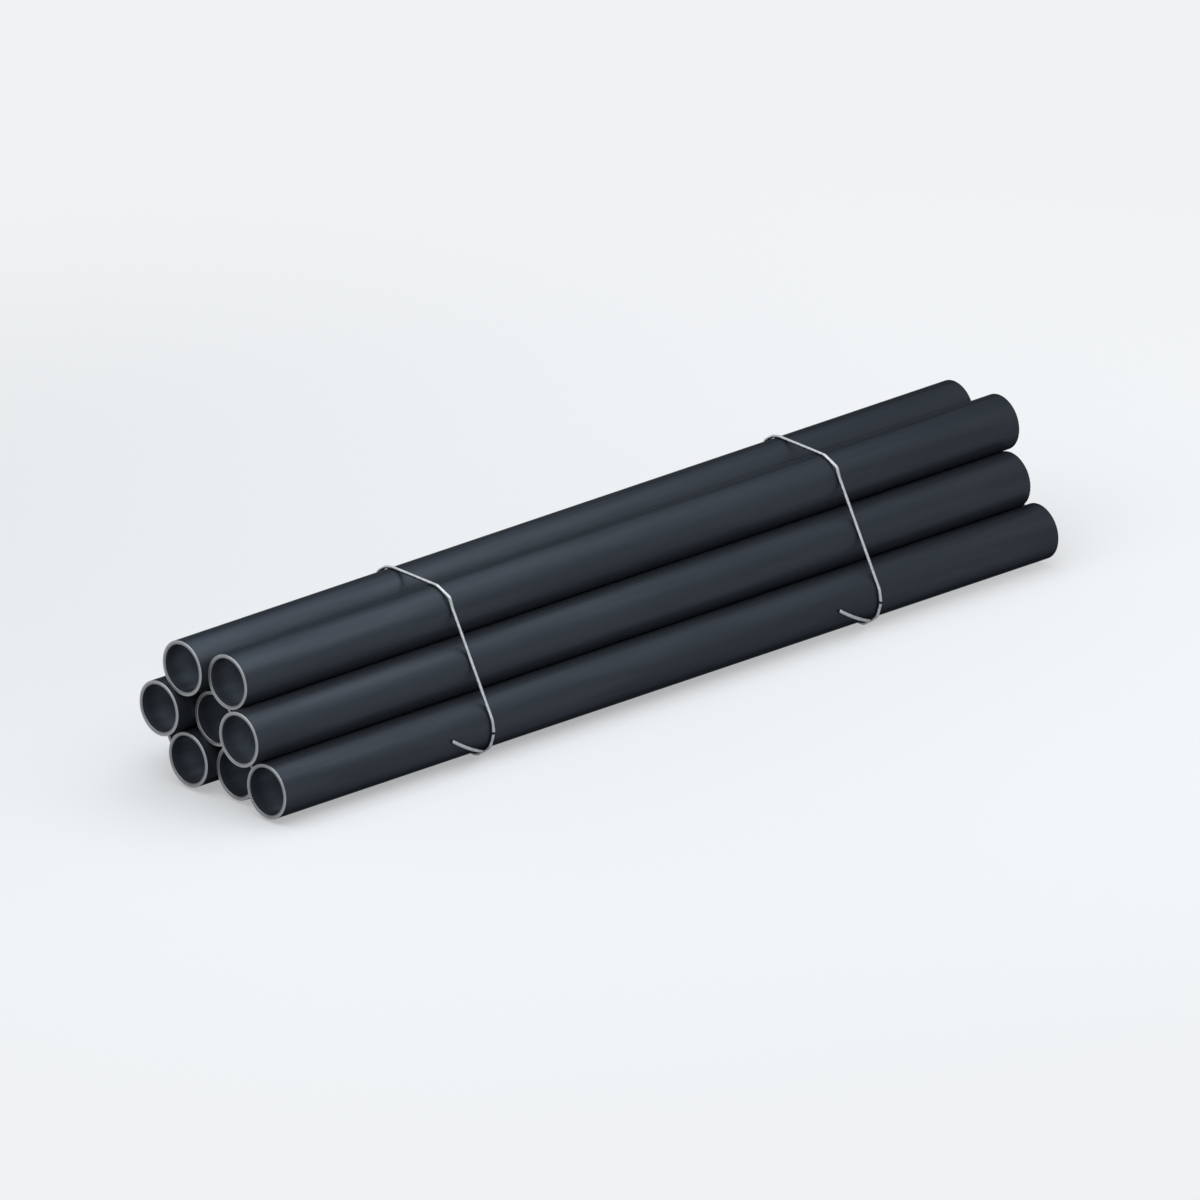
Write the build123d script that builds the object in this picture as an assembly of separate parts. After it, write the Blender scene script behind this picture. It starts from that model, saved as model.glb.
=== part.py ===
from build123d import *
from math import cos, pi, radians, sin, sqrt
import os

# A bundle of nine steel pipes, stacked four, three and two high and tied with two loops of wire.
# Millimetres. X runs along the pipes from the near ends to the far ends, Z is up, and the
# origin is the middle of the bundle's footprint. The bundle lies on the undersides of the wires.

# Pipe: 2 inch outside diameter, cut into 3 foot lengths
PIPE_OD = 50.8
PIPE_WALL = 3.6
PIPE_LENGTH = 914.4
END_CHAMFER = 0.5

# How far each pipe's near end is past the line where a tidy stack would end. Each row is
# listed from its left to its right, as seen from the near ends.
ROWS = {
    "bottom": (43.4, 1.1, 11.4, 1.6),
    "middle": (-10.5, 9.1, -8.4),
    "top": (-6.1, 1.4),
}

# Tie wire, and where its two loops are, measured from the same line
WIRE_DIAMETER = 3.0
LOOP_STATIONS = {"tie_wire_front": 245.4, "tie_wire_rear": 703.2}
TOUCH_GAP = 0.05

# The wire is bent by hand round the four corner pipes, so its bends are uneven, with straight
# stretches between them. Each stretch is given by the angle on its pipe where it would touch: 0 is
# towards the right side and 90 is up. The last one on the right-hand top pipe bends back a little.
LEFT_BOTTOM_STRETCHES = (270, 244, 222, 190, 170, 150)
LEFT_TOP_STRETCHES = (150, 124, 102, 90)
RIGHT_TOP_STRETCHES = (90, 68, 20, 30)
RIGHT_BOTTOM_STRETCHES = (30, 10, -18, -54, -70, -90)
BEND_RADIUS = 4.0

# The pliers' nick is in the bend between these two stretches of the right-hand bottom pipe
NICK_STRETCHES = (10, -18)
NICK_DEPTH = 0.6
NICK_WIDTH = 1.4

# The wire's two ends lap side by side under the right-hand bottom pipe. One is turned up and
# back along that pipe's face as a tail, and the other is hooked into the groove beside it.
LAP_PITCH = WIRE_DIAMETER + 0.15
TAIL_REACH = 47.8
TAIL_FOOT_ANGLE = -51.7
TAIL_TIP_ANGLE = 5.3
HOOK_TIP_ANGLE = -150.0
TAIL_SWEEP_RADIUS = 86.0
TAIL_BEND_RADIUS = 5.0
TAIL_ROOT_RADIUS = 11.0
HOOK_RADIUS = 24.0
WIRE_END_CHAMFER = 0.4

# Values that follow from these
PIPE_RADIUS = PIPE_OD / 2
BORE_RADIUS = PIPE_RADIUS - PIPE_WALL
PITCH = PIPE_OD + TOUCH_GAP
ROW_RISE = PITCH * sqrt(3) / 2
WRAP_RADIUS = PIPE_RADIUS + TOUCH_GAP + WIRE_DIAMETER / 2
BOTTOM_AXIS_HEIGHT = WRAP_RADIUS + WIRE_DIAMETER / 2
SHIFTS = [shift for row in ROWS.values() for shift in row]
STACK_LINE = -(min(SHIFTS) + max(SHIFTS) + PIPE_LENGTH) / 2


def pipe_axis(row, place):
    """The Y and Z of one pipe's axis. Rows count up from 0, and places from the left."""
    count = len(list(ROWS.values())[row])
    y = ((count - 1) / 2 - place) * PITCH
    return y, BOTTOM_AXIS_HEIGHT + row * ROW_RISE


def pipe():
    """One pipe along X from the origin, with its cut ends' edges broken."""
    corner = Pos(0, BORE_RADIUS) * Rectangle(PIPE_LENGTH, PIPE_WALL, align=(Align.MIN, Align.MIN))
    section = chamfer(corner.vertices(), END_CHAMFER)
    return revolve(section, Axis.X)


def point_round(axis, x, angle, radius=WRAP_RADIUS):
    """A point at an angle round a pipe's axis: 0 is towards the right side and 90 is up."""
    y, z = axis
    return Vector(x, y - radius * cos(radians(angle)), z + radius * sin(radians(angle)))


def wrap_corner(axis, x, start, end):
    """Where the wire's straight runs would cross if they left the pipe at these two angles."""
    radius = WRAP_RADIUS / cos(radians(end - start) / 2)
    return point_round(axis, x, (start + end) / 2, radius)


def hand_bends(axis, x, stretches):
    """The corners between a wire's straight stretches round a pipe, and their radius."""
    return [(wrap_corner(axis, x, *pair), BEND_RADIUS) for pair in zip(stretches, stretches[1:])]


def wire_path(station):
    """The wire's centre line, from the tail's tip round the stack to the hook's tip."""
    left = pipe_axis(0, 0)
    right = pipe_axis(0, 3)
    top_left = pipe_axis(2, 0)
    top_right = pipe_axis(2, 1)
    lap = station - LAP_PITCH
    tip = station - TAIL_REACH
    route = [
        (point_round(right, tip, TAIL_TIP_ANGLE), None),
        (wrap_corner(right, (tip + lap) / 2, TAIL_FOOT_ANGLE, TAIL_TIP_ANGLE), TAIL_SWEEP_RADIUS),
        (point_round(right, lap, TAIL_FOOT_ANGLE), TAIL_BEND_RADIUS),
        (wrap_corner(right, lap, -90, TAIL_FOOT_ANGLE), TAIL_ROOT_RADIUS),
        *hand_bends(left, station, LEFT_BOTTOM_STRETCHES),
        *hand_bends(top_left, station, LEFT_TOP_STRETCHES),
        *hand_bends(top_right, station, RIGHT_TOP_STRETCHES),
        *hand_bends(right, station, RIGHT_BOTTOM_STRETCHES),
        (wrap_corner(right, station, HOOK_TIP_ANGLE, -90), HOOK_RADIUS),
        (point_round(right, station, HOOK_TIP_ANGLE), None),
    ]
    corners = [corner for corner, _ in route]
    radii = [radius for _, radius in route if radius]
    return FilletPolyline(*corners, radius=radii)


def plier_nick(station):
    """The ring-shaped V that the pliers cut round the wire, in the middle of one bend."""
    first, last = NICK_STRETCHES
    angle = (first + last) / 2
    half_turn = radians(abs(last - first) / 2)
    reach = WRAP_RADIUS / cos(half_turn) - BEND_RADIUS * (1 / cos(half_turn) - 1)
    right = pipe_axis(0, 3)
    middle = point_round(right, station, angle, reach)
    along = point_round(right, station, angle + 90, 1) - point_round(right, station, angle + 90, 0)
    root = WIRE_DIAMETER / 2 - NICK_DEPTH
    mouth = root + 2 * NICK_DEPTH
    profile = Plane.XZ * Polyline((root, 0), (mouth, NICK_WIDTH), (mouth, -NICK_WIDTH), close=True)
    return Plane(middle, z_dir=along) * revolve(make_face(profile), Axis.Z)


def tie_wire(station):
    """One bent wire, with the edges of its two cut ends broken and a nick in one bend."""
    path = wire_path(station)
    section = Plane(path @ 0, z_dir=path % 0) * Circle(WIRE_DIAMETER / 2)
    wire = sweep(section, path)
    expected = pi * WIRE_DIAMETER**2 / 4 * path.length
    print("wire length", round(path.length, 1), "volume over section x length", round(wire.volume / expected, 5))
    ends = wire.faces().filter_by(GeomType.PLANE).edges()
    return chamfer(ends, WIRE_END_CHAMFER) - plier_nick(station)


os.makedirs("parts", exist_ok=True)

for row, (name, shifts) in enumerate(ROWS.items()):
    for place, shift in enumerate(shifts):
        y, z = pipe_axis(row, place)
        placed = Pos(STACK_LINE + shift, y, z) * pipe()
        export_step(placed, f"parts/pipe_{name}_{place + 1}.step")

for name, station in LOOP_STATIONS.items():
    export_step(tie_wire(STACK_LINE + station), f"parts/{name}.step")
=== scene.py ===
import math

import bpy
from mathutils import Matrix, Vector


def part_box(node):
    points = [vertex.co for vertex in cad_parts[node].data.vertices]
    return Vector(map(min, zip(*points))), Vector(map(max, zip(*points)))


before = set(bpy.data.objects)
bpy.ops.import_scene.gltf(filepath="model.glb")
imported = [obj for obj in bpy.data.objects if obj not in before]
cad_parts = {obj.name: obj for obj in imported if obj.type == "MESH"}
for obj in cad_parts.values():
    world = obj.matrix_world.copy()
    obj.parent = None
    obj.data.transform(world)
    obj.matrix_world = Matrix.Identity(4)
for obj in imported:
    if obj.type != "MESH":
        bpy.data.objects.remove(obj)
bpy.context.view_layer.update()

# The looks of a wire-tied bundle of nine steel pipes. Metres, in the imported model's frame:
# X runs along the pipes from the near ends to the far ends, and Z is up.

# The photograph's view: a parallel projection, 1200 pixels square
PHOTO_PIXELS = 1200
PIXELS_PER_METRE = 1141.3
VIEW_AZIMUTH = -42.2
VIEW_ELEVATION = 21.85
CAMERA_DISTANCE = 4.0
MOUTH_PIPE = "pipe_bottom_2"
MOUTH_PIXEL = (187.9, 759.8)

# Sizes of the pipes and the wire, as the model has them
PIPE_RADIUS = 0.0254
BORE_RADIUS = 0.0218
END_CHAMFER = 0.0005
WIRE_RADIUS = 0.0015

# Soft edges of the pipes' zones: each zone is 0 at its first distance and 1 at its second. The
# first two are measured from a pipe's end, and the third from its axis.
CUT_EDGE = (END_CHAMFER * 0.4, END_CHAMFER * 0.1)
NEAR_END_EDGE = (END_CHAMFER * 1.2, END_CHAMFER)
INSIDE_EDGE = (BORE_RADIUS + END_CHAMFER, BORE_RADIUS + END_CHAMFER / 2)

# Lacquer on the pipes. Each finish has two tones, for where its patches, lines or scores are
# weakest and where they are strongest.
LACQUER = ((0.029, 0.0345, 0.0425), (0.040, 0.047, 0.057))
LACQUER_ROUGH, LACQUER_SMOOTH = 0.44, 0.38
LACQUER_METAL = 0.55
PATCH_SIZE, PATCH_STRETCH = 0.012, 14.0
LINE_WIDTH, LINE_STRETCH = 0.0009, 90.0
LINE_SHARE = 0.4

# How many times wider the coarse draw lines are, and the noise between which a patch comes up
COARSE_LINES = 5.0
PATCH_EDGE = (0.3, 0.7)

# How far into the bores the lacquer has run, and past it the dry mill scale, painted far lighter than it
# is, as painted light deep in the bores
MILL_SCALE_PAINTED_LIGHT = ((0.130, 0.155, 0.190), (0.200, 0.237, 0.290))
PAINTED_LIGHT_FROM, PAINTED_LIGHT_TO = 0.007, 0.032
PAINTED_LIGHT_RAGGED = 0.003
BORE_ROUGHNESS = 0.55
BORE_METAL = 0.10

# Bare steel at the cut ends, with scores at a slant of each pipe's own, in degrees
SAWN_BY_BORE = ((0.17, 0.173, 0.178), (0.25, 0.254, 0.260))
SAWN_BY_SKIN = ((0.31, 0.315, 0.325), (0.45, 0.455, 0.465))
WORN_EDGE = (0.31, 0.315, 0.325)
STEEL_ROUGHNESS = 0.42
STEEL_METAL = 0.80
SCORE_PITCH, SCORE_STRETCH = 0.0007, 25
FIRST_SLANT, SLANT_STEP = 20, 37

# How much of the pipes' gloss is left where they are seen edge on
EDGE_GLOSS = 0.2

# Depth of the lines, scores and grain in the surfaces
RELIEF = 0.00001

# The four pipes at the corners of the stack, which the wires bend round, in the wire's order
CORNER_PIPES = ("pipe_bottom_1", "pipe_top_1", "pipe_top_2", "pipe_bottom_4")

# Zinc on the wires, near-black with painted shade near the pipes, where the wire meets them, and in its
# own tones where it stands out from them
ZINC_PAINTED_SHADE = ((0.014, 0.016, 0.019), (0.035, 0.038, 0.043))
ZINC_TONES = ((0.35, 0.365, 0.385), (0.48, 0.495, 0.515))
ZINC_ROUGHNESS = 0.5
ZINC_METAL = 0.6
ZINC_PATCH, ZINC_GRAIN = 0.004, 0.0008
SHADE_FADE_FROM, SHADE_FADE_TO = WIRE_RADIUS, WIRE_RADIUS * 1.75
SHADE_RAGGED = WIRE_RADIUS * 0.2

# Each loop's plier nick, as an angle round the right-hand bottom pipe, and how far the painted shade in it
# goes
NICK_PAINTED_SHADE = (0.02, 0.021, 0.023)
NICK_ANGLE = math.radians(-4.0)
NICK_REACH = 0.02765
NICK_WIDTH = 0.0014
NICK_SPREAD = math.hypot(WIRE_RADIUS, NICK_WIDTH * 0.7)
SPOT_FADE = 1.06

# Studio: the floor's own grey, which takes the shadow, and the glow that the eye sees on it. The
# glow is weaker where the softbox lights the floor more. Away from the bundle the floor fades to
# the tone that the backdrop has below the horizon, and above it the backdrop is dimmer. The studio's
# walls give more light than its ceiling, and so light the grooves between the pipes.
STUDIO_TINT = (0.965, 0.985, 1.0)
FLOOR_GREY = 0.38
FLOOR_ROUGHNESS = 0.9
FLOOR_HALF = 6.0
GLOW_NEAR, GLOW_FAR = 0.38, 0.78
GLOW_CENTRE = (-0.50, -0.10, 0)
GLOW_FROM, GLOW_TO = 0.2, 2.1
FADE_FROM, FADE_TO = 0.7, 1.35
WALL_LIGHT, CEILING_LIGHT = 1.5, 0.05
CEILING_FROM = 0.75
WORLD_ABOVE, WORLD_BELOW = 0.72, 0.90
HORIZON_BLUR = 0.15

# The softbox over the near ends, and how bright a mirror would show it, where white is 1
SOFTBOX_PLACE = (-0.45, -0.22, 0.95)
SOFTBOX_SIZE = (2.1, 1.6)
SOFTBOX_SEEN = 2.25

PIPES = sorted(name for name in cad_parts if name.startswith("pipe_"))
WIRES = sorted(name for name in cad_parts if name.startswith("tie_wire_"))


def pipe_axis(name):
    """The middle of a pipe's near mouth, and its length."""
    low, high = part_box(name)
    middle = (low + high) / 2
    return Vector((low.x, middle.y, middle.z)), high.x - low.x


def aim(azimuth, elevation):
    """The camera's right, up and backward directions. Azimuth 0 looks along +Y."""
    turn, tilt = math.radians(azimuth), math.radians(elevation)
    back = Vector((math.sin(turn) * math.cos(tilt), -math.cos(turn) * math.cos(tilt), math.sin(tilt)))
    right = Vector((math.cos(turn), math.sin(turn), 0))
    return right, back.cross(right), back


def make_camera():
    """A parallel camera that shows the mouth pipe's near end at its pixel in the photograph."""
    data = bpy.data.cameras.new("photo_camera")
    data.type = "ORTHO"
    data.ortho_scale = PHOTO_PIXELS / PIXELS_PER_METRE
    camera = bpy.data.objects.new("photo_camera", data)
    bpy.context.scene.collection.objects.link(camera)
    right, up, back = aim(VIEW_AZIMUTH, VIEW_ELEVATION)
    mouth, _ = pipe_axis(MOUTH_PIPE)
    across = (PHOTO_PIXELS / 2 - MOUTH_PIXEL[0]) / PIXELS_PER_METRE
    above = (MOUTH_PIXEL[1] - PHOTO_PIXELS / 2) / PIXELS_PER_METRE
    middle = mouth + right * across + up * above
    turn = Matrix((right, up, back)).transposed().to_4x4()
    camera.matrix_world = Matrix.Translation(middle + back * CAMERA_DISTANCE) @ turn
    bpy.context.scene.camera = camera


def feed(tree, value, socket):
    """Gives a socket another node's output, or a plain value."""
    if isinstance(value, bpy.types.NodeSocket):
        tree.links.new(value, socket)
    elif socket.type == "VECTOR" and isinstance(value, float):
        socket.default_value = (value, value, value)
    else:
        socket.default_value = value


def calculate(tree, operation, *values):
    """One step of arithmetic on numbers or other nodes' outputs."""
    node = tree.nodes.new("ShaderNodeMath")
    node.operation = operation
    for value, socket in zip(values, node.inputs):
        feed(tree, value, socket)
    return node.outputs[0]


def calculate_vector(tree, operation, *values):
    """One step of arithmetic on points or directions. A dot product or a distance gives a number."""
    node = tree.nodes.new("ShaderNodeVectorMath")
    node.operation = operation
    for value, socket in zip(values, node.inputs):
        feed(tree, value, socket)
    return node.outputs["Value" if operation in ("DOT_PRODUCT", "DISTANCE", "LENGTH") else "Vector"]


def own_place(tree):
    """The point on the piece, which moves with it."""
    return tree.nodes.new("ShaderNodeTexCoord").outputs["Object"]


def ramp(tree, value, start, end, low=0.0, high=1.0):
    """A smooth change from low to high as the value goes from start to end."""
    node = tree.nodes.new("ShaderNodeMapRange")
    node.interpolation_type = "SMOOTHSTEP"
    settings = {"Value": value, "From Min": start, "From Max": end, "To Min": low, "To Max": high}
    for label, given in settings.items():
        feed(tree, given, node.inputs[label])
    return node.outputs["Result"]


def mix_values(tree, share, first, second):
    """A number between two others."""
    node = tree.nodes.new("ShaderNodeMix")
    for value, socket in zip((share, first, second), (node.inputs[0], node.inputs[2], node.inputs[3])):
        feed(tree, value, socket)
    return node.outputs[0]


def mix_colours(tree, share, first, second):
    """A colour between two others, each a node's output or red, green and blue."""
    node = tree.nodes.new("ShaderNodeMix")
    node.data_type = "RGBA"
    colours = [(*colour, 1) if isinstance(colour, tuple) else colour for colour in (first, second)]
    for value, socket in zip((share, *colours), (node.inputs[0], node.inputs[6], node.inputs[7])):
        feed(tree, value, socket)
    return node.outputs[2]


def noise(tree, point, size, detail=2.0):
    """Cloudy noise from 0 to 1, with lumps of about the given size in metres."""
    node = tree.nodes.new("ShaderNodeTexNoise")
    node.inputs["Scale"].default_value = 1
    node.inputs["Detail"].default_value = detail
    tree.links.new(calculate_vector(tree, "DIVIDE", point, size), node.inputs["Vector"])
    return node.outputs["Fac"]


def new_group(name, inputs, outputs):
    """An empty shader node group with named inputs and outputs, and its two end nodes' sockets."""
    tree = bpy.data.node_groups.new(name, "ShaderNodeTree")
    for way, sockets in (("INPUT", inputs), ("OUTPUT", outputs)):
        for label, kind in sockets.items():
            tree.interface.new_socket(label, in_out=way, socket_type="NodeSocket" + kind)
    return tree, tree.nodes.new("NodeGroupInput").outputs, tree.nodes.new("NodeGroupOutput").inputs


def place_group(tree, name, **values):
    """Places a group in a material with its own values, and gives its outputs."""
    node = tree.nodes.new("ShaderNodeGroup")
    node.node_tree = bpy.data.node_groups[name]
    for label, value in values.items():
        feed(tree, value, node.inputs[label])
    return node.outputs


def make_pipe_zones():
    """Where a point is on its pipe, and masks for the cut faces, the broken edges and the bore.

    Outward goes from 0 at the bore to 1 at the outside, through the wall.
    """
    masks = {label: "Float" for label in ("Outward", "From End", "Cut", "Lip", "Bore")}
    tree, given, result = new_group(
        "pipe zones", {"Mouth": "Vector", "Length": "Float"}, {"Place": "Vector", **masks})
    place = calculate_vector(tree, "SUBTRACT", own_place(tree), given["Mouth"])
    along, across, up = tree.nodes.new("ShaderNodeSeparateXYZ").outputs
    tree.links.new(place, along.node.inputs[0])
    squares = [calculate(tree, "MULTIPLY", side, side) for side in (across, up)]
    radius = calculate(tree, "SQRT", calculate(tree, "ADD", *squares))
    from_end = calculate(tree, "MINIMUM", along, calculate(tree, "SUBTRACT", given["Length"], along))
    cut = ramp(tree, from_end, *CUT_EDGE)
    near_end = ramp(tree, from_end, *NEAR_END_EDGE)
    inside = ramp(tree, radius, *INSIDE_EDGE)
    past_end = calculate(tree, "SUBTRACT", 1.0, near_end)
    tree.links.new(place, result["Place"])
    tree.links.new(ramp(tree, radius, BORE_RADIUS, PIPE_RADIUS), result["Outward"])
    tree.links.new(from_end, result["From End"])
    tree.links.new(cut, result["Cut"])
    tree.links.new(calculate(tree, "SUBTRACT", near_end, cut), result["Lip"])
    tree.links.new(calculate(tree, "MULTIPLY", inside, past_end), result["Bore"])


def squeeze_along(tree, point, stretch):
    """A point whose X is divided by a stretch, so that noise on it is drawn out along X."""
    shape = tree.nodes.new("ShaderNodeCombineXYZ")
    tree.links.new(calculate(tree, "DIVIDE", 1.0, stretch), shape.inputs["X"])
    shape.inputs["Y"].default_value = shape.inputs["Z"].default_value = 1
    return calculate_vector(tree, "MULTIPLY", point, shape.outputs[0])


def make_draw_lines():
    """Fine lines along the pipe that rolling and coating leave, coarse and fine together."""
    tree, given, result = new_group(
        "draw lines", {"Point": "Vector", "Width": "Float", "Stretch": "Float"}, {"Lines": "Float"})
    squeezed = squeeze_along(tree, given["Point"], given["Stretch"])
    coarse = noise(tree, squeezed, calculate(tree, "MULTIPLY", given["Width"], COARSE_LINES))
    fine = noise(tree, squeezed, given["Width"])
    tree.links.new(mix_values(tree, 0.5, coarse, fine), result["Lines"])


def make_clouds():
    """Soft uneven patches, such as lacquer or zinc has where it ran thicker or thinner."""
    tree, given, result = new_group(
        "clouds", {"Point": "Vector", "Size": "Float", "Stretch": "Float"}, {"Patches": "Float"})
    squeezed = squeeze_along(tree, given["Point"], given["Stretch"])
    lumps = noise(tree, squeezed, given["Size"], detail=3.0)
    tree.links.new(ramp(tree, lumps, *PATCH_EDGE), result["Patches"])


def make_saw_lines():
    """The straight fine scores that a saw leaves on a cut face, at a slant of the pipe's own."""
    tree, given, result = new_group(
        "saw lines", {"Point": "Vector", "Pitch": "Float", "Slant": "Float"}, {"Scores": "Float"})
    turned = tree.nodes.new("ShaderNodeVectorRotate")
    turned.rotation_type = "X_AXIS"
    tree.links.new(given["Point"], turned.inputs["Vector"])
    tree.links.new(given["Slant"], turned.inputs["Angle"])
    squeezed = calculate_vector(tree, "MULTIPLY", turned.outputs[0], (1, 1, 1 / SCORE_STRETCH))
    tree.links.new(noise(tree, squeezed, given["Pitch"], detail=1.0), result["Scores"])


def make_spot():
    """A mask that is one within a radius of a place and fades out past it."""
    tree, given, result = new_group(
        "spot", {"Point": "Vector", "Centre": "Vector", "Radius": "Float"}, {"Mask": "Float"})
    gap = calculate_vector(tree, "DISTANCE", given["Point"], given["Centre"])
    edge = calculate(tree, "MULTIPLY", given["Radius"], SPOT_FADE)
    tree.links.new(ramp(tree, gap, edge, given["Radius"]), result["Mask"])


def across_pipes(tree, start, end):
    """The way from one point to another, less its part along the pipes."""
    way = calculate_vector(tree, "SUBTRACT", end, start)
    return calculate_vector(tree, "MULTIPLY", way, (0, 1, 1))


def make_gap_to_run():
    """How far a point is from the straight run between two pipes' axes, seen along the pipes."""
    tree, given, result = new_group(
        "gap to run", {"Point": "Vector", "Start": "Vector", "End": "Vector"}, {"Gap": "Float"})
    run = across_pipes(tree, given["Start"], given["End"])
    reach = across_pipes(tree, given["Start"], given["Point"])
    reached = calculate_vector(tree, "DOT_PRODUCT", reach, run)
    whole = calculate_vector(tree, "DOT_PRODUCT", run, run)
    share = calculate(tree, "DIVIDE", reached, whole)
    share.node.use_clamp = True
    nearest = calculate_vector(tree, "MULTIPLY", run, share)
    tree.links.new(calculate_vector(tree, "DISTANCE", reach, nearest), result["Gap"])


def new_material(name):
    """A node material, its tree and its Principled shader."""
    material = bpy.data.materials.new(name)
    material.use_nodes = True
    return material, material.node_tree, material.node_tree.nodes["Principled BSDF"]


def raise_surface(tree, shader, height):
    """Gives the shader a fine relief, from a height of 0 to 1."""
    bump = tree.nodes.new("ShaderNodeBump")
    bump.inputs["Strength"].default_value = 1
    bump.inputs["Distance"].default_value = RELIEF
    tree.links.new(height, bump.inputs["Height"])
    tree.links.new(bump.outputs["Normal"], shader.inputs["Normal"])


def coated_colour(tree, zones, patches, tone):
    """Blue-grey lacquer, and deeper in the bore than the lacquer has run, dry mill scale painted lighter
    as painted light.
    """
    lacquer = mix_colours(tree, tone, *LACQUER)
    # painted light: the mill scale tones are far lighter than the lacquer, so the bore looks lit deep
    # inside
    scale = mix_colours(tree, tone, *MILL_SCALE_PAINTED_LIGHT)
    depth = calculate(tree, "MULTIPLY_ADD", patches, PAINTED_LIGHT_RAGGED, zones["From End"])
    lining = mix_colours(tree, ramp(tree, depth, PAINTED_LIGHT_FROM, PAINTED_LIGHT_TO), lacquer, scale)
    return mix_colours(tree, zones["Bore"], lacquer, lining)


def sawn_colour(tree, zones, scores):
    """Bare scored steel, lighter towards the outside of the wall, with worn outer edges."""
    inner = mix_colours(tree, scores, *SAWN_BY_BORE)
    outer = mix_colours(tree, scores, *SAWN_BY_SKIN)
    sawn = mix_colours(tree, zones["Outward"], inner, outer)
    worn = calculate(tree, "MULTIPLY", zones["Lip"], zones["Outward"])
    return mix_colours(tree, worn, sawn, WORN_EDGE)


def pipe_finish(name, slant):
    """Blue-grey lacquer outside, dry mill scale with painted light deeper in the bore, and bare sawn steel
    at the ends.
    """
    mouth, length = pipe_axis(name)
    material, tree, shader = new_material(name + "_finish")
    zones = place_group(tree, "pipe zones", Mouth=mouth, Length=length)
    point = own_place(tree)
    lines = place_group(tree, "draw lines", Point=point, Width=LINE_WIDTH, Stretch=LINE_STRETCH)["Lines"]
    patches = place_group(tree, "clouds", Point=point, Size=PATCH_SIZE, Stretch=PATCH_STRETCH)["Patches"]
    scores = place_group(tree, "saw lines", Point=zones["Place"], Pitch=SCORE_PITCH, Slant=slant)["Scores"]
    tone = mix_values(tree, LINE_SHARE, patches, lines)
    bare = calculate(tree, "MAXIMUM", zones["Cut"], zones["Lip"])

    def by_zone(outside, bore, ends):
        """A number that differs between the pipe's outside, its bore and its bare ends."""
        return mix_values(tree, bare, mix_values(tree, zones["Bore"], outside, bore), ends)

    coated = coated_colour(tree, zones, patches, tone)
    steel = sawn_colour(tree, zones, scores)
    coat_roughness = ramp(tree, tone, 0.0, 1.0, LACQUER_ROUGH, LACQUER_SMOOTH)
    roughness = by_zone(coat_roughness, BORE_ROUGHNESS, STEEL_ROUGHNESS)
    metal = by_zone(LACQUER_METAL, BORE_METAL, STEEL_METAL)
    tree.links.new(mix_colours(tree, bare, coated, steel), shader.inputs["Base Color"])
    tree.links.new(roughness, shader.inputs["Roughness"])
    tree.links.new(metal, shader.inputs["Metallic"])
    shader.inputs["Specular Tint"].default_value = (EDGE_GLOSS, EDGE_GLOSS, EDGE_GLOSS, 1)
    shader.inputs["Specular IOR Level"].default_value = 0.0
    raise_surface(tree, shader, mix_values(tree, bare, lines, scores))
    return material


def height_over_stack(tree, point):
    """How far a point on a wire stands out from the pipes that the wire is bent round."""
    corners = [pipe_axis(name)[0] for name in CORNER_PIPES]
    gap = 1.0
    for start, end in zip(corners, corners[1:] + corners[:1]):
        run = place_group(tree, "gap to run", Point=point, Start=start, End=end)["Gap"]
        gap = calculate(tree, "MINIMUM", gap, run)
    return calculate(tree, "SUBTRACT", gap, PIPE_RADIUS)


def nick_place(wire):
    """The middle of a wire's plier nick. The loop is at the far side of the wire's box."""
    middle, _ = pipe_axis(CORNER_PIPES[-1])
    nick = middle + Vector((0, -math.cos(NICK_ANGLE), math.sin(NICK_ANGLE))) * NICK_REACH
    _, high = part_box(wire)
    nick.x = high.x - WIRE_RADIUS
    return nick


def wire_finish(name):
    """Zinc on drawn wire, with painted shade on its side against the pipes and in the nick."""
    material, tree, shader = new_material(name + "_zinc")
    point = own_place(tree)
    patches, grain = [
        place_group(tree, "clouds", Point=point, Size=size, Stretch=1.0)["Patches"]
        for size in (ZINC_PATCH, ZINC_GRAIN)]
    uneven = calculate(tree, "MULTIPLY_ADD", patches, SHADE_RAGGED, height_over_stack(tree, point))
    tone = mix_values(tree, 0.5, patches, grain)
    # painted shade: near-black zinc on the side of the wire that lies against the pipes, fading out with
    # height over them
    dull = mix_colours(tree, tone, *ZINC_PAINTED_SHADE)
    bright = mix_colours(tree, tone, *ZINC_TONES)
    zinc = mix_colours(tree, ramp(tree, uneven, SHADE_FADE_FROM, SHADE_FADE_TO), dull, bright)
    # painted shade in the plier nick
    notch = place_group(tree, "spot", Point=point, Centre=nick_place(name), Radius=NICK_SPREAD)["Mask"]
    tree.links.new(mix_colours(tree, notch, zinc, NICK_PAINTED_SHADE), shader.inputs["Base Color"])
    shader.inputs["Roughness"].default_value = ZINC_ROUGHNESS
    shader.inputs["Metallic"].default_value = ZINC_METAL
    shader.inputs["Specular IOR Level"].default_value = 0.0
    raise_surface(tree, shader, grain)
    return material


def dress(node, material):
    """Gives a node a material through its object's own slot."""
    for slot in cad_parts[node].material_slots:
        slot.link = "OBJECT"
        slot.material = material


def light_share(tree, light, seen):
    """One value for the light that things get, and another for what the eye or a gloss sees."""
    rays = tree.nodes.new("ShaderNodeLightPath").outputs
    looks = calculate(tree, "MAXIMUM", rays["Is Camera Ray"], rays["Is Glossy Ray"])
    looks = calculate(tree, "MAXIMUM", looks, rays["Is Transmission Ray"])
    return mix_values(tree, looks, light, seen)


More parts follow.
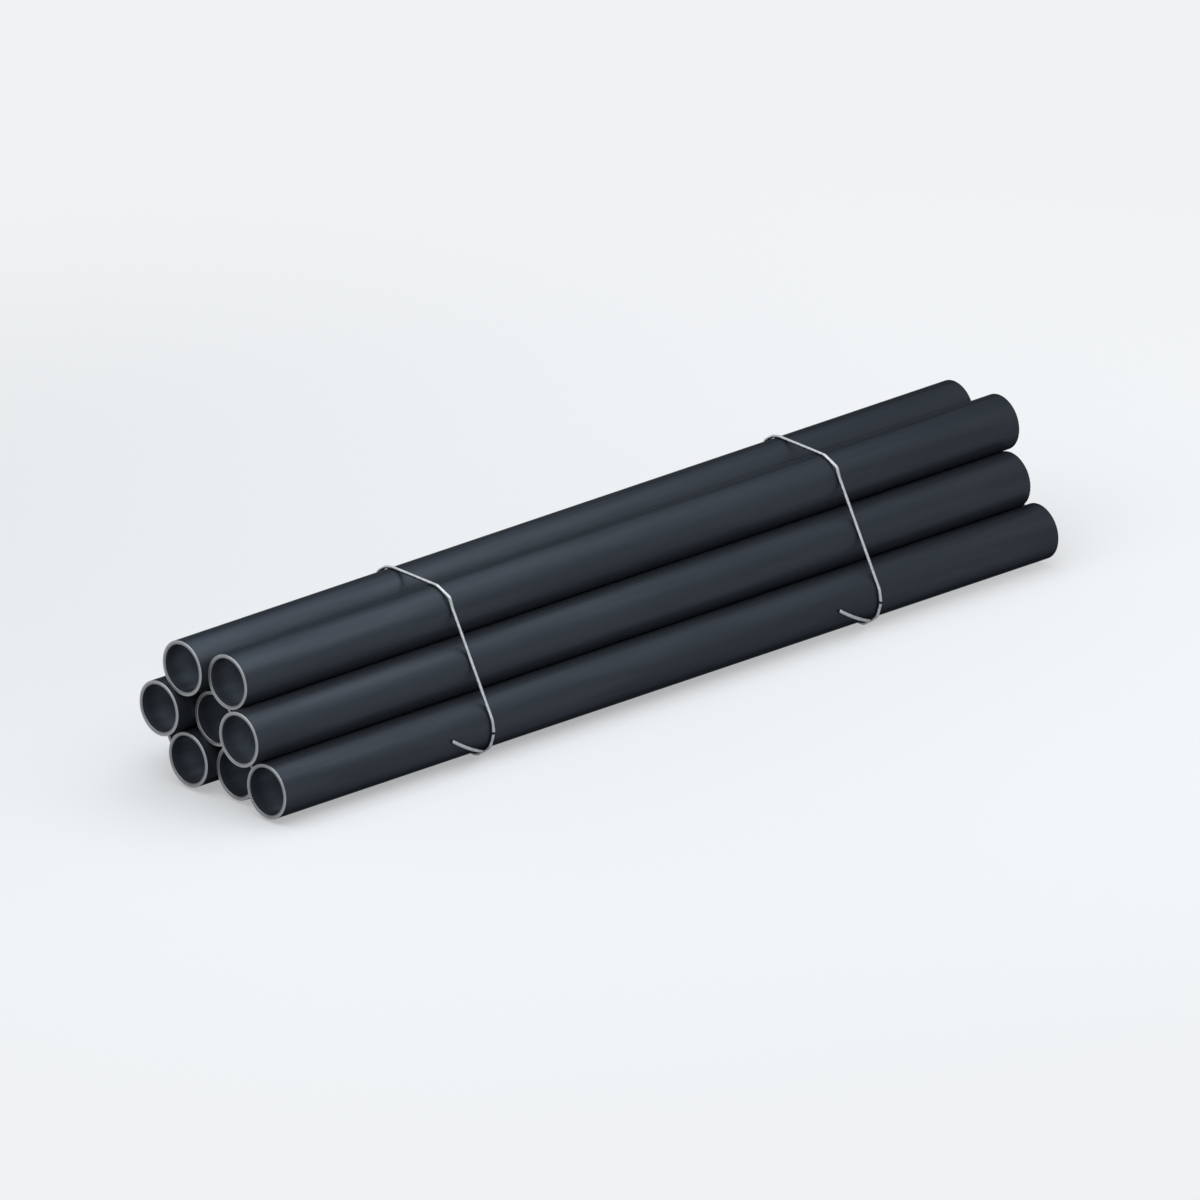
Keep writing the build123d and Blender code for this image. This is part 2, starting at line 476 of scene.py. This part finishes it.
def floor_finish():
    """A dull grey floor with a pale glow for the eye, clear from below."""
    material, tree, shader = new_material("floor")
    shader.inputs["Roughness"].default_value = FLOOR_ROUGHNESS
    shader.inputs["Specular IOR Level"].default_value = 0.0
    shader.inputs["Emission Color"].default_value = (*STUDIO_TINT, 1)
    point = own_place(tree)
    from_pool = calculate_vector(tree, "DISTANCE", point, GLOW_CENTRE)
    glow = ramp(tree, from_pool, GLOW_FROM, GLOW_TO, GLOW_NEAR, GLOW_FAR)
    away = ramp(tree, calculate_vector(tree, "LENGTH", point), FADE_FROM, FADE_TO)
    seen = mix_values(tree, away, glow, WORLD_BELOW)
    tree.links.new(light_share(tree, 0.0, seen), shader.inputs["Emission Strength"])
    grey = tuple(FLOOR_GREY * share for share in STUDIO_TINT)
    tree.links.new(mix_colours(tree, away, grey, (0.0, 0.0, 0.0)), shader.inputs["Base Color"])
    clear = tree.nodes.new("ShaderNodeBsdfTransparent")
    sides = tree.nodes.new("ShaderNodeMixShader")
    tree.links.new(tree.nodes.new("ShaderNodeNewGeometry").outputs["Backfacing"], sides.inputs["Fac"])
    tree.links.new(shader.outputs[0], sides.inputs[1])
    tree.links.new(clear.outputs[0], sides.inputs[2])
    tree.links.new(sides.outputs[0], tree.nodes["Material Output"].inputs["Surface"])
    return material


def make_floor():
    """The studio's floor, which keeps the bundle's shadow."""
    mesh = bpy.data.meshes.new("floor")
    corners = [(x * FLOOR_HALF, y * FLOOR_HALF, 0) for x, y in ((-1, -1), (1, -1), (1, 1), (-1, 1))]
    mesh.from_pydata(corners, [], [(0, 1, 2, 3)])
    mesh.materials.append(floor_finish())
    floor = bpy.data.objects.new("floor", mesh)
    bpy.context.scene.collection.objects.link(floor)


def make_world():
    """Soft light from the studio's walls and ceiling, which the eye sees as a pale backdrop."""
    world = bpy.data.worlds.new("studio")
    bpy.context.scene.world = world
    world.use_nodes = True
    tree = world.node_tree
    background = tree.nodes["Background"]
    background.inputs["Color"].default_value = (*STUDIO_TINT, 1)
    _, _, height = tree.nodes.new("ShaderNodeSeparateXYZ").outputs
    tree.links.new(tree.nodes.new("ShaderNodeTexCoord").outputs["Generated"], height.node.inputs[0])
    light = ramp(tree, height, 0.0, CEILING_FROM, WALL_LIGHT, CEILING_LIGHT)
    seen = ramp(tree, height, 0.0, HORIZON_BLUR, WORLD_BELOW, WORLD_ABOVE)
    tree.links.new(light_share(tree, light, seen), background.inputs["Strength"])


def make_softbox():
    """The one lamp: a wide softbox over the near ends, facing straight down."""
    data = bpy.data.lights.new("overhead_softbox", "AREA")
    data.shape = "RECTANGLE"
    data.size, data.size_y = SOFTBOX_SIZE
    data.energy = SOFTBOX_SEEN * math.pi * data.size * data.size_y
    data.color = STUDIO_TINT
    softbox = bpy.data.objects.new("overhead_softbox", data)
    softbox.visible_camera = False
    softbox.location = SOFTBOX_PLACE
    bpy.context.scene.collection.objects.link(softbox)


make_camera()
make_floor()
make_world()
make_softbox()

make_pipe_zones()
make_draw_lines()
make_clouds()
make_saw_lines()
make_spot()
make_gap_to_run()
for count, name in enumerate(PIPES):
    dress(name, pipe_finish(name, slant=math.radians(FIRST_SLANT + SLANT_STEP * count)))
for name in WIRES:
    dress(name, wire_finish(name))

bpy.context.scene.view_settings.view_transform = "Standard"
